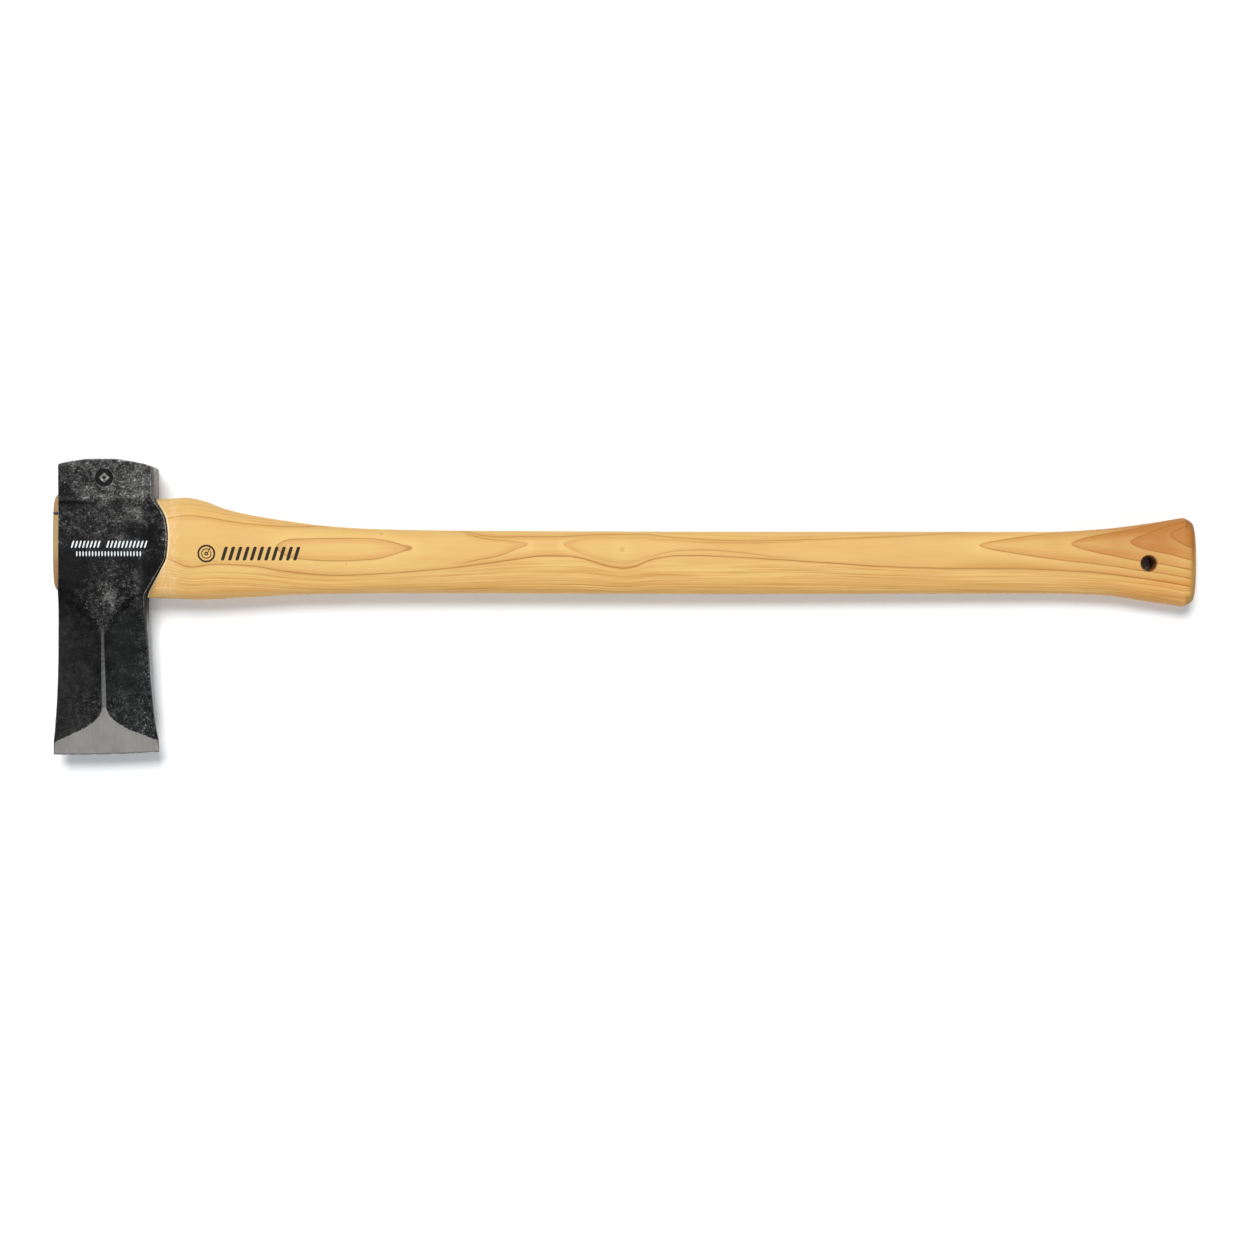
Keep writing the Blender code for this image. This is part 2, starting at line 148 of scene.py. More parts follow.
# The figure of the wood on the front of the handle, in side view. Two growth lines run its whole length, as
# (X, Y). Between them stand the peaks of inner rings, as (X, rings crossed) and (X, place of the peak).
LOWER_LINE = [(40, 4), (48, 0.5), (59, -3.2), (76, -1.2), (98, -2), (128, -6.5), (158, -9.1), (188, -7.7),
              (230, -4.5), (262, -0.6), (283, 2.1), (306, 4.3), (319, 4.3), (330, 3.1), (337, 1.3), (350, -2.5),
              (360, -3.8), (368, -2.7), (377, 1.2), (387, 3.6), (398, 4.8), (410, 5), (424, 4.6), (450, 3.1),
              (505, -0.6), (560, -3.4), (630, -4.2), (675, -6.3), (720, -10.5), (756, -16.8)]
UPPER_LINE = [(40, 30.2), (58, 32.6), (74, 30.7), (98, 27), (133, 25), (185, 26), (240, 23.2), (273, 18.2),
              (312, 17.9), (345, 20), (366, 20), (398, 17.3), (448, 15.2), (500, 16.3), (560, 19), (610, 23),
              (650, 26), (756, 36)]
# Fainter lines beside them, which fade out at both ends
SECOND_LOWER_LINE = [(372, -0.5), (381, 4.6), (393, 7.6), (404, 8.7), (418, 8.9), (440, 7.2), (466, 3.9),
                     (505, 1.4)]
SECOND_UPPER_LINE = [(395, 15.6), (418, 14.3), (448, 13.6), (480, 14.3), (510, 15.6)]
RINGS_BETWEEN = [(40, 6), (230, 6), (245, 4.1), (258, 2.4), (274, 1.62), (286, 1.1), (293, 1), (300, 0.8),
                 (311, 0.8), (318, 1), (323, 1.2), (333, 1.9), (345, 2.4), (375, 2.4), (388, 1.7), (395, 1.2),
                 (399, 1), (410, 0.8), (590, 0.85), (608, 1), (638, 1.34), (672, 2), (713, 3), (741, 4),
                 (757, 4.8)]
PEAK_PLACE = [(40, 0.53), (210, 0.53), (286, 0.67), (330, 0.6), (400, 0.55), (560, 0.6), (608, 0.61),
              (672, 0.56), (713, 0.59), (741, 0.7), (757, 0.75)]
ISLAND = [(90, 0), (108, 0.8), (119, 1), (131, 1.22), (160, 1.27), (184, 1.24), (197, 1.1), (206, 1.02),
          (212, 1), (225, 0.7), (245, 0)]
PITH_Y, PITH_Z = 6.0, 40.0
RING_WIDTH = 1.7
# Small knots on the front, as (X, Y, radius, how dark)
KNOTS = [(358.8, 9.2, 2.3, 0.45), (191.0, 20.0, 1.2, 0.8), (167.0, -1.4, 0.6, 1.2)]
# Where the knob's wood darkens, from no change to full
KNOB_TONE_X, KNOB_TOP_Y = (640.0, 745.0), (-2.0, 20.0)

# Colours, as linear red, green and blue. Each wood has its light and deep ground and its growth lines.
HICKORY = [(0.665, 0.426, 0.145), (0.465, 0.186, 0.038), (0.23, 0.09, 0.019)]
WEDGE_WOOD = [(0.50, 0.30, 0.12), (0.36, 0.18, 0.06), (0.15, 0.06, 0.02)]
SANDED_WOOD = (0.76, 0.55, 0.32)
# Painted highlight along the wood's edge at the lug rim
RIM_HIGHLIGHT = (0.80, 0.66, 0.42)
# Painted shade inside the hang hole
BORE_SHADE = (0.20, 0.075, 0.03)
KNOB_EDGE = [(0.34, 0.20, 0.052), (0.29, 0.11, 0.028)]
KNOB_FACE = (0.46, 0.245, 0.075)
TONGUE_LOW, TONGUE_MIDDLE, TONGUE_TOP = (0.44, 0.19, 0.050), (0.60, 0.38, 0.125), (0.48, 0.26, 0.07)
SCALE_TINT, BLADE_TINT, SPECK_TINT = (1.0, 0.968, 0.930), (0.96, 0.99, 0.99), (1.0, 0.93, 0.84)
GROUND_STEEL = [(0.157, 0.148, 0.136), (0.245, 0.232, 0.215)]
EDGE_STEEL = (0.05, 0.05, 0.05)
WEDGE_STEEL = [(0.030, 0.023, 0.018), (0.065, 0.055, 0.048)]
WHITE_INK = (0.72, 0.73, 0.74)
BROWN_INK = (0.026, 0.019, 0.012)


# Numbers

def smooth_through(points):
    """A function that runs smoothly through (place, value) points, with no overshoot."""
    places, values = np.array(points, float).T
    rises = np.diff(values) / np.diff(places)
    product = rises[:-1] * rises[1:]
    inner = np.divide(2 * product, rises[:-1] + rises[1:], out=np.zeros_like(product), where=product > 0)
    slopes = np.concatenate([rises[:1], inner, rises[-1:]])

    def value_at(place):
        place = np.clip(place, places[0], places[-1])
        i = np.clip(np.searchsorted(places, place, side="right") - 1, 0, len(places) - 2)
        width = places[i + 1] - places[i]
        t = (place - places[i]) / width
        return (values[i] * (1 + 2 * t) * (1 - t) ** 2 + values[i + 1] * t * t * (3 - 2 * t)
                + width * t * (1 - t) * (slopes[i] * (1 - t) - slopes[i + 1] * t))

    return value_at


def smoothstep(value, start=0, end=1):
    t = np.clip((value - start) / (end - start), 0.0, 1.0)
    return t * t * (3 - 2 * t)


def bunched(start, end, count, power):
    """Places from start to end that crowd together towards the start as the power grows."""
    return start + (end - start) * np.linspace(0, 1, count) ** power


def lumps(points, size, seed):
    """Smooth noise from -1 to 1 at each point, with lumps of about the given size along each axis."""
    cells = 32
    grid = np.random.default_rng(seed).uniform(-1, 1, (cells, cells, cells))
    place = np.asarray(points) / size
    cell = np.floor(place).astype(int)
    t = place - cell
    t = t * t * (3 - 2 * t)
    total = np.zeros(len(place))
    for corner in itertools.product((0, 1), repeat=3):
        weight = np.prod(np.where(corner, t, 1 - t), axis=1)
        i, j, k = ((cell + corner) % cells).T
        total += weight * grid[i, j, k]
    return total


crown_side, grip_side, ridge_half, side_half, poll_drop = map(
    smooth_through, (CROWN_SIDE, GRIP_SIDE, RIDGE_HALF, SIDE_HALF, POLL_CROWN))
eye_middle, eye_length, eye_width = (smooth_through([(row[0], row[i]) for row in EYE]) for i in (1, 2, 3))
tongue_inset, knob_inset, back_line, belly_line, grip_half = map(
    smooth_through, (TONGUE_CROWN, KNOB_END, BACK_LINE, BELLY_LINE, GRIP_HALF))
lower_line, upper_line, rings_between, peak_place, island = map(
    smooth_through, (LOWER_LINE, UPPER_LINE, RINGS_BETWEEN, PEAK_PLACE, ISLAND))

# Long growth lines on the front, and how dark each is
LONG_LINES = {"from_lower": (lower_line, 0.95), "from_upper": (upper_line, 0.65),
              "from_second_lower": (smooth_through(SECOND_LOWER_LINE), 0.5),
              "from_second_upper": (smooth_through(SECOND_UPPER_LINE), 0.45)}


# Meshes

def add_object(name, data):
    """Puts a mesh, light or camera into the scene."""
    obj = bpy.data.objects.new(name, data)
    bpy.context.scene.collection.objects.link(obj)
    return obj


def closed_object(name, points, faces):
    """A closed mesh as an object, with its faces turned outwards."""
    mesh = bpy.data.meshes.new(name)
    mesh.from_pydata(np.asarray(points).tolist(), [], faces)
    mesh.calc_loop_triangles()
    corners = np.empty(len(mesh.loop_triangles) * 3, int)
    mesh.loop_triangles.foreach_get("vertices", corners)
    triangles = np.asarray(points)[corners.reshape(-1, 3)]
    if np.linalg.det(triangles).sum() < 0:
        mesh.flip_normals()
    return add_object(name, mesh)


def quads_of(sheet):
    """The faces of a sheet of point numbers, one row of four for each face."""
    corners = [sheet[:-1, :-1], sheet[1:, :-1], sheet[1:, 1:], sheet[:-1, 1:]]
    return np.stack(corners, axis=-1).reshape(-1, 4)


def loft(name, rings):
    """A closed mesh through rings with equal numbers of points."""
    rings = np.asarray(rings, float)
    layers, count = rings.shape[:2]
    faces = []
    for layer in range(layers - 1):
        near, far = layer * count, (layer + 1) * count
        faces += [(near + i, near + (i + 1) % count, far + (i + 1) % count, far + i) for i in range(count)]
    faces.append(list(range(count))[::-1])
    faces.append(list(range((layers - 1) * count, layers * count)))
    return closed_object(name, rings.reshape(-1, 3), faces)


def points_of(obj):
    points = np.empty(len(obj.data.vertices) * 3)
    obj.data.vertices.foreach_get("co", points)
    return points.reshape(-1, 3)


def normals_of(obj):
    normals = np.empty(len(obj.data.vertices) * 3)
    obj.data.vertex_normals.foreach_get("vector", normals)
    return normals.reshape(-1, 3)


def apply_modifiers(obj):
    graph = bpy.context.evaluated_depsgraph_get()
    result = bpy.data.meshes.new_from_object(obj.evaluated_get(graph))
    obj.modifiers.clear()
    obj.data = result


def boolean(target, other, operation):
    """Cuts, joins or keeps what is common, and removes the other object."""
    modifier = target.modifiers.new(operation, "BOOLEAN")
    modifier.operation = operation
    modifier.solver = "MANIFOLD"
    modifier.object = other
    apply_modifiers(target)
    bpy.data.objects.remove(other)


def give_numbers(obj, name, values):
    """Stores one number, or one vector, at each vertex for the material to read."""
    values = np.asarray(values, np.float32)
    vector = values.ndim == 2
    layer = obj.data.attributes.new(name, "FLOAT_VECTOR" if vector else "FLOAT", "POINT")
    layer.data.foreach_set("vector" if vector else "value", values.ravel())


def place_of_design_frame():
    """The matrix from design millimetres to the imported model, from the record's two mounts."""
    mounts = {mount["name"]: mount for mount in frame["record"]["mounts"]}
    down = mounts["cheek_face"]["axis"]
    turn = Matrix.Rotation(math.atan2(-down[0], -down[2]), 4, "Y")
    scaled = turn @ Matrix.Scale(0.001, 4)
    poll = scaled @ Vector((RIDGE_X, POLL_Y, 0.0))
    return Matrix.Translation(Vector(mounts["poll_face"]["pos_m"]) - poll) @ scaled


PLACE = place_of_design_frame()
SHARP_DEGREES = 40


def finish_piece(obj, material, node=None):
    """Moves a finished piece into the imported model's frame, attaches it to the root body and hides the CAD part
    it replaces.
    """
    give_numbers(obj, "design", points_of(obj))
    obj.data.transform(PLACE)
    obj.data.shade_smooth()
    obj.data.set_sharp_from_angle(angle=math.radians(SHARP_DEGREES))
    obj.data.materials.clear()
    obj.data.materials.append(material)
    if node:
        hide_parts(node)
    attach(obj, "root")


# Materials

class Field:
    """A number or colour inside a material. Arithmetic on fields adds the matching nodes."""

    def __init__(self, surface, socket):
        self.surface = surface
        self.socket = socket

    def math(self, operation, other=0.0):
        return self.surface.add("Math", {0: self, 1: other}, operation=operation)

    def __add__(self, other):
        return self.math("ADD", other)

    def __sub__(self, other):
        return self.math("SUBTRACT", other)

    def __rsub__(self, other):
        return self.surface.add("Math", {0: other, 1: self}, operation="SUBTRACT")

    def __mul__(self, other):
        return self.math("MULTIPLY", other)

    def __truediv__(self, other):
        return self.math("DIVIDE", other)

    def __abs__(self):
        return self.math("ABSOLUTE")

    __radd__ = __add__
    __rmul__ = __mul__

    def step(self, start, end, low=0.0, high=1.0):
        """Runs smoothly from low to high as this field goes from start to end."""
        inputs = {"Value": self, "From Min": start, "From Max": end, "To Min": low, "To Max": high}
        return self.surface.add("MapRange", inputs, interpolation_type="SMOOTHSTEP")

    def window(self, start, full, fading, end):
        """Rises smoothly to 1 between the first two places, and falls back to 0 between the last two."""
        return self.step(start, full) * self.step(end, fading)

    def least(self, other):
        return self.math("MINIMUM", other)

    def most(self, other):
        return self.math("MAXIMUM", other)

    def mix(self, a, b):
        """Colour a where this field is 0, and colour b where it is 1."""
        inputs = {0: self, 6: a, 7: b}
        return self.surface.add("Mix", inputs, output=2, data_type="RGBA", clamp_factor=True)

    def shade(self, factor):
        """This colour multiplied by a number."""
        return self.surface.add("VectorMath", {0: self, "Scale": factor}, operation="SCALE")


class Surface:
    """A node material under construction on one Principled shader."""

    def __init__(self, name):
        self.material = bpy.data.materials.new(name)
        self.material.use_nodes = True
        self.tree = self.material.node_tree
        self.shader = self.tree.nodes["Principled BSDF"]
        self.design = self.add("Attribute", {}, output="Vector", attribute_name="design")
        separate = self.tree.nodes.new("ShaderNodeSeparateXYZ")
        self.feed(separate.inputs[0], self.design)
        self.x, self.y, self.z = (Field(self, separate.outputs[i]) for i in range(3))

    def feed(self, socket, value):
        if isinstance(value, Field):
            self.tree.links.new(value.socket, socket)
        elif isinstance(value, tuple) and socket.type == "RGBA":
            socket.default_value = (*value, 1.0)
        else:
            socket.default_value = value

    def add(self, kind, inputs, output=0, **settings):
        node = self.tree.nodes.new("ShaderNode" + kind)
        for name, value in settings.items():
            setattr(node, name, value)
        for key, value in inputs.items():
            self.feed(node.inputs[key], value)
        return Field(self, node.outputs[output])

    def number(self, name):
        return self.add("Attribute", {}, output="Fac", attribute_name=name)

    def stretched(self, scale, shift):
        """The design coordinates scaled by one number, or by one for each axis, and shifted."""
        scale = scale if isinstance(scale, tuple) else (scale, scale, scale)
        inputs = {0: self.design, 1: scale, 2: (shift, shift, shift)}
        return self.add("VectorMath", inputs, operation="MULTIPLY_ADD")

    def noise_at(self, place, detail, roughness):
        inputs = {"Vector": place, "Scale": 1.0, "Detail": detail, "Roughness": roughness}
        return self.add("TexNoise", inputs, noise_dimensions="3D")

    def noise(self, scale, detail=2.0, roughness=0.5, shift=0.0):
        """Noise around 0.5, with its scale in lumps for each millimetre."""
        return self.noise_at(self.stretched(scale, shift), detail, roughness)

    def swing(self, scale, **settings):
        """Noise around 0, mostly from -1 to 1."""
        return (self.noise(scale, **settings) - 0.5) * 8

    def vector(self, x, y, z=0.0):
        return self.add("CombineXYZ", {0: x, 1: y, 2: z})

    def distance(self, x, y):
        """Distance in side view from a point of the design frame."""
        across, up = self.x - x, self.y - y
        return (across * across + up * up).math("SQRT")

    def set(self, **sockets):
        for name, value in sockets.items():
            self.feed(self.shader.inputs[name.replace("_", " ").title().replace("Ior", "IOR")], value)

    def bump(self, height, millimetres):
        normal = self.add("Bump", {"Strength": 1.0, "Distance": millimetres * 0.001, "Height": height})
        self.feed(self.shader.inputs["Normal"], normal)


# Head

def head_half_thickness(x, y):
    """Half thickness of the unground head: flat cheeks, thinner lugs, and a ridge between two hollows."""
    side = np.where(x > RIDGE_X, grip_side(y), crown_side(y))
    span = abs(side - RIDGE_X) - RIDGE_HALF_WIDTH
    out = np.clip((abs(x - RIDGE_X) - RIDGE_HALF_WIDTH) / span, 0.0, 1.0)
    weight = smoothstep((HOLLOW_TOP_Y + HOLLOW_RISE * out * (2 - out) - y) / HOLLOW_BLEND)
    share = (1 - RIDGE_FLANK) * out + RIDGE_FLANK * (1 - (1 - out) ** RIDGE_FLANK_POWER)
    dish = HOLLOW_DISH * smoothstep(y, *HOLLOW_DISH_ENDS_Y)
    hollow = weight * ((ridge_half(y) - side_half(y)) * share + dish * np.sin(np.pi * out))
    lug = LUG_DROP * smoothstep(x, LUG_START_X, LUG_RIM_X)
    lug *= smoothstep(y, WAIST_Y, WAIST_Y + LUG_BLEND) * smoothstep((POLL_FOOT_Y - y) / CORNER)
    step = STEP_DEPTH * smoothstep((STEP_FROM_X - x) / STEP_WIDTH) * smoothstep((STEP_Y - y) / CORNER)
    step *= smoothstep(y, *STEP_FADE_Y)
    return ridge_half(y) - hollow - lug - step


def shell_of_box(counts):
    """Index numbers and faces of the points on the outside of a lattice with the given counts of points."""
    index = np.full(counts, -1)
    outside = np.ones(counts, bool)
    outside[1:-1, 1:-1, 1:-1] = False
    index[outside] = np.arange(outside.sum())
    faces = []
    for axis in range(3):
        for end in (0, -1):
            sheet = index.take(end, axis=axis)
            quads = quads_of(sheet)
            if (end == 0) != (axis == 1):
                quads = quads[:, ::-1]
            faces += quads.tolist()
    return np.argwhere(outside), faces


def stamp_relief(x, y):
    """Depth of the generic punch mark on the poll: a round recess with a diamond left standing in it."""
    reach = np.hypot(x - STAMP_X, y - STAMP_Y)
    diamond = abs(x - STAMP_X) + abs(y - STAMP_Y)
    recess = 1 - smoothstep(reach, STAMP_RADIUS - 0.7, STAMP_RADIUS + 0.2)
    standing = smoothstep(diamond, 4.1, 3.4) * smoothstep(diamond, 1, 1.7)
    return STAMP_DEPTH * recess * (1 - 0.8 * standing)


def head_lattice(counts, grow):
    """The head's points: their X and Y, their place across it from -1 to 1, and the faces between them."""
    middle_columns, side_columns, blade_rows, poll_rows, layers = counts
    middle = RIDGE_X + np.linspace(-MIDDLE_HALF, MIDDLE_HALF, middle_columns)
    shares = bunched(0, 1, side_columns, BUNCHING)[:-1]
    poll_part = bunched(POLL_Y, FINE_FROM_Y, poll_rows, BUNCHING)[-2::-1]
    rows = np.concatenate([np.linspace(EDGE_Y, FINE_FROM_Y, blade_rows), poll_part])
    beside = len(shares)
    columns = middle_columns + 2 * beside
    where, faces = shell_of_box((columns, len(rows), layers))
    column, row, layer = where.T
    y = rows[row]
    left, right = crown_side(y) - grow, grip_side(y) + grow
    out_left = np.pad(shares, (0, columns - beside))[column]
    out_right = np.pad(shares[::-1], (columns - beside, 0))[column]
    x = np.pad(middle, beside)[column]
    x = np.where(column < beside, left + out_left * (middle[0] - left), x)
    x = np.where(column >= columns - beside, right + out_right * (middle[-1] - right), x)
    return x, y, np.sin(0.5 * np.pi * (2 * layer / (layers - 1) - 1)), faces


def eased_corners(half, *distances):
    """How far points near the outer corners are drawn in from each side, and how worn each corner is."""
    radius = np.minimum(CORNER, 0.4 * half)
    into = np.stack([np.maximum(0.0, radius - away) for away in distances], axis=1)
    reach = np.linalg.norm(into, axis=1)
    pull = np.maximum(0.0, 1 - radius / np.maximum(reach, 1e-6))[:, None] * into
    return pull.T, np.clip((reach / radius - 1) / (math.sqrt(2) - 1), 0, 1)


def head_shell(name, counts, grow=0.0, detailed=True):
    """The head before its eye is cut. The plain version clears room around the head."""
    x, y, across, faces = head_lattice(counts, grow)
    left, right = crown_side(y) - grow, grip_side(y) + grow
    unground = head_half_thickness(np.clip(x, left + grow, right - grow), y) + grow
    ground = EDGE_HALF + grow + (y - EDGE_Y) * GRIND_SLOPE
    half = np.minimum(unground, ground)
    z = half * across
    from_side = np.minimum(x - left, right - x)
    pull, wear = eased_corners(half, from_side, POLL_Y - y, half - abs(z))
    x = x + np.where(x < RIDGE_X, 1, -1) * pull[0]
    z = z - np.sign(z) * pull[2]
    along = y - pull[1] + grow * smoothstep(y, 60, POLL_Y) - grow * smoothstep(-y, 120, -EDGE_Y)
    along = along - poll_drop(x) * smoothstep(y, POLL_FOOT_Y, POLL_Y)
    bend = (x - EDGE_LOW_X) / EDGE_SPAN
    along = along + EDGE_RISE * bend ** 2 * smoothstep(EDGE_RISE_FROM_Y - y, 0, EDGE_RISE_FROM_Y - EDGE_Y)
    points = np.stack([x, along, z], axis=1)
    obj = closed_object(name, points, faces)
    if not detailed:
        return obj

    give_numbers(obj, "wear", wear)
    # Where the painted reflection of the floor goes: the side walls, fading out towards their upper edge
    give_numbers(obj, "wall", smoothstep(0.9 - from_side, 0, 0.5) * smoothstep(z / half, 0.60, -0.05))
    give_numbers(obj, "ground", unground - ground)
    give_numbers(obj, "stamp", stamp_relief(x, y) / STAMP_DEPTH * on_front(z))
    forge_marks(obj, points, unground - ground)
    return obj


def on_front(z):
    return z > CHEEK_HALF - 1.5


def forge_marks(obj, points, ground):
    """Lowers the surface by the shallow lumps and pits of forging, away from the ground edge and the lugs."""
    x, y, z = points.T
    depth = 0.0
    for seed, (deep, size) in enumerate(FORGE_LUMPS, 1):
        depth = depth + deep * (lumps(points, size, seed) - 1) / 2
    pitted = smoothstep(lumps(points, 2.6, 4), 0.45, 0.8) * smoothstep(lumps(points, 17.0, 5), -0.2, 0.5)
    forged = 1 - smoothstep(ground, -1.2, 0)
    near_rim = smoothstep(x, 30, 38) * smoothstep(y, -20, -5) * smoothstep(46.0 - y, 0, 4)
    depth = (depth - PIT_DEPTH * pitted) * forged * (1 - 0.8 * near_rim)
    moved = points + normals_of(obj) * depth[:, None]
    moved[:, 2] -= on_front(z) * stamp_relief(x, y)
    moved[:, 1] += NICK_DEPTH * smoothstep(lumps(points * (1, 0, 0), 3.1, 6), 0.1, 0.9) * (y < EDGE_Y + 4)
    obj.data.vertices.foreach_set("co", moved.ravel())
    obj.data.update()


def superellipse(x, middle, half_height, half_width, power, count):
    """A closed ring in the plane X = x, from an ellipse at power 2 towards a rectangle as the power grows."""
    angle = 2 * np.pi * np.arange(count) / count
    c, s = np.cos(angle), np.sin(angle)
    y = middle + half_height * np.copysign(abs(s) ** (2 / power), s)
    z = half_width * np.copysign(abs(c) ** (2 / power), c)
    return np.stack([np.full(count, x), y, z], axis=1)


def eye_ring(x, inset=0.0, count=96):
    return superellipse(x, eye_middle(x), eye_length(x) - inset, eye_width(x) - inset, EYE_POWER, count)


def head_zones(surface):
    """Where the head's places lie, each from 0 to 1, and the noises that its scale is made of."""
    x, y = surface.x, surface.y
    blade = y.step(-22, -46)
    poll = y.step(42, 46)
    lug = x.step(20, 30) * (1 - blade) * (1 - poll)
    return SimpleNamespace(
        blade=blade, poll=poll, lug=lug, low_lug=lug * y.step(14, -4),
        low_left=y.step(24, -2) * x.step(4, -16) * (1 - blade),
        across=x.step(-30, 30),
        # wall: the side walls near the floor on the handle side, where a painted reflection lightens the scale
        wall=surface.number("wall") * x.step(0, 10),
        cloud=surface.swing(0.075, detail=3, roughness=0.55),
        mottle=surface.swing(0.26, detail=3, roughness=0.6, shift=7),
        grain=surface.swing(0.72, roughness=0.7, shift=3),
        speck=surface.noise(0.80, roughness=0.7, shift=19))


def scale_tone_and_painted_light(surface, zone, contrast):
    """How light the forge scale is, before anything is rubbed off it, with a painted reflection on the poll's
    side wall and a painted shadow beside the punch mark.
    """
    poll, blade, across = zone.poll, zone.blade, zone.across
    flakes = surface.noise((0.50, 0.62, 0.5), roughness=0.65, shift=53).step(0.52, 0.70)
    # The poll's side wall is lightened as a painted reflection of the floor.
    tone = 0.174 + poll * (0.060 + 0.115 * across) + zone.wall * poll * 0.32
    tone -= (0.042 + 0.028 * across) * blade + 0.132 * zone.low_left + 0.10 * zone.low_lug
    # Rubbed spots lighten the scale and dark spots darken it; one of them is a painted shadow beside the punch
    # mark.
    for spot_x, spot_y, radius, lift in SCUFFS_AND_PAINTED_SHADOW:
        away = surface.distance(spot_x, spot_y) + zone.mottle * 2
        tone += away.step(radius, 0) * lift
    tone += (zone.cloud * 0.080 + zone.mottle * 0.095 + zone.grain * 0.085) * contrast
    tone += (flakes - 0.25) * (0.14 + 0.10 * poll * across + zone.mottle * 0.08) * contrast
    tone -= zone.mottle.step(0.35, 1.3) * 0.05 * contrast
    tone += (zone.cloud * 0.018 + zone.mottle * 0.018 + zone.grain * 0.012) * (1 - contrast)
    return tone


def rubbed_places(surface, zone, from_ridge):
    """The forked patch above the ridge, a band above the ground edge and the blade's handle side."""
    x, y = surface.x, surface.y
    fork = (y + 47) * 0.62
    arms = (abs(from_ridge - fork) + zone.mottle * 1.2).step(5.5, 0.5) * y.step(-14, -24)
    inside = (from_ridge - fork + zone.mottle * 1.5).step(3, -3) * y.step(-6, -22)
    patch = (arms * y.step(-60, -46)).most(inside * 0.8 * y.step(-50, -42))
    band = (y + zone.mottle * 4).step(-80, -98) * x.step(-34, 8, 0.3, 1)
    return patch + band * 0.7 + x.step(17, 27) * zone.blade * 0.6


def ground_facet(surface, zone):
    """Where the cutting edge is ground, its colour, and the strokes along it."""
    ground = surface.number("ground") + (surface.noise(0.5, detail=3, shift=31) - 0.5) * 0.4
    strokes = surface.noise((1.1, 0.03, 0.03), detail=3, roughness=0.6, shift=5)
    haze = surface.noise(0.10, shift=41)
    bright = ((strokes - 0.5) * 0.9 + haze).mix(*GROUND_STEEL)
    bend = (surface.x - EDGE_LOW_X) / EDGE_SPAN
    from_edge = surface.y - EDGE_Y - bend * bend * EDGE_RISE
    edge_line = (from_edge + zone.grain * 0.15).step(1.1, 0.5)
    return ground.step(-0.05, 0.03), (edge_line * 0.7).mix(bright, EDGE_STEEL), strokes


def head_material():
    """Black forge scale, lighter where it is rubbed, with bright worn edges, a ground cutting edge, and painted
    reflections, shade and highlights.
    """
    surface = Surface("forged_steel")
    x, y = surface.x, surface.y
    zone = head_zones(surface)
    blade, across = zone.blade, zone.across
    contrast = 1 - (blade * 0.88 + zone.low_left * 0.7 + zone.low_lug * 0.7).least(1)
    tone = scale_tone_and_painted_light(surface, zone, contrast)

    from_ridge = abs(x - RIDGE_X)
    rubbed = rubbed_places(surface, zone, from_ridge)
    tone += rubbed * (0.045 + zone.grain * 0.05 + zone.mottle * 0.045)
    spatter = zone.cloud.step(-0.4, 0.6) * blade * across
    specks = zone.speck.step(0.59, 0.69) * (0.22 + zone.poll * 0.4 + rubbed * 0.5 + spatter * 0.15)
    tone += specks * 0.40
    down = y.step(-40, -100)
    ridge = (from_ridge - down * 0.7).step(1.6, 0.5) * y.step(-36, -50)
    tone = tone.most(ridge * (0.31 + down * 0.13 + zone.grain * 0.05))

    worn = (surface.number("wear") + (zone.speck - 0.5) * 1.4).step(0.30, 0.75)
    tone += worn * (0.34 - 0.20 * blade * across + 0.20 * zone.lug)
    # Painted reflection: the blade's side wall on the handle side is lit bright.
    tone = tone.most(zone.wall * blade * (0.72 + zone.grain * 0.14))
    # Painted highlight just above the step's edge and painted shade just below it.
    from_step = y - STEP_Y
    over_step = from_step.window(0.2, 0.9, 1.5, 5)
    under_step = from_step.window(-3.5, -0.8, -0.4, 0.1)
    tone += x.step(STEP_FROM_X, STEP_FROM_X - 4) * (over_step * 0.09 - under_step * 0.13)
    # Painted shade in the punch mark's recess and a painted highlight round its rim.
    stamp = surface.number("stamp")
    stamp_rim_highlight = stamp.window(0.02, 0.25, 0.35, 0.75)
    tone = tone * (1 - 0.72 * stamp.step(0.25, 0.9)) + stamp_rim_highlight * 0.20
    value = tone.most(0.03).math("POWER", 2.2) * 0.775
    tint = (blade * across).mix(SCALE_TINT, BLADE_TINT)
    tint = (rubbed * specks).mix(tint, SPECK_TINT)

    bevel, bright, strokes = ground_facet(surface, zone)
    surface.set(base_color=bevel.mix(tint.shade(value), bright))
    surface.set(metallic=(bevel * 0.8).most((worn * 0.4).most(ridge * 0.4)))
    rough = 0.60 + zone.grain * 0.02 - rubbed * 0.05
    surface.set(roughness=rough * (1 - bevel) + (0.48 + (strokes - 0.5) * 0.15) * bevel)
    surface.set(specular_ior_level=0.12)
    height = (zone.mottle * 0.06 + zone.grain * 0.07) * contrast * (1 - bevel)
    surface.bump(height + specks * 0.1 + strokes * 0.08 * bevel, 0.5)
    return surface.material


def make_head():
    head = head_shell("maul_head_steel", HEAD_COUNTS)
    eye = loft("eye_cutter", [eye_ring(x) for x in np.linspace(-50, 60, 70)])
    boolean(head, eye, "DIFFERENCE")
    return head


# Handle

def grip_ring(x, inset=0.0, count=112):
    top, bottom = back_line(x), belly_line(x)
    half_height = (top - bottom) / 2 - inset
    half_width = grip_half(x) - inset * grip_half(x) / ((top - bottom) / 2)
    return superellipse(x, (top + bottom) / 2, half_height, half_width, GRIP_POWER, count)


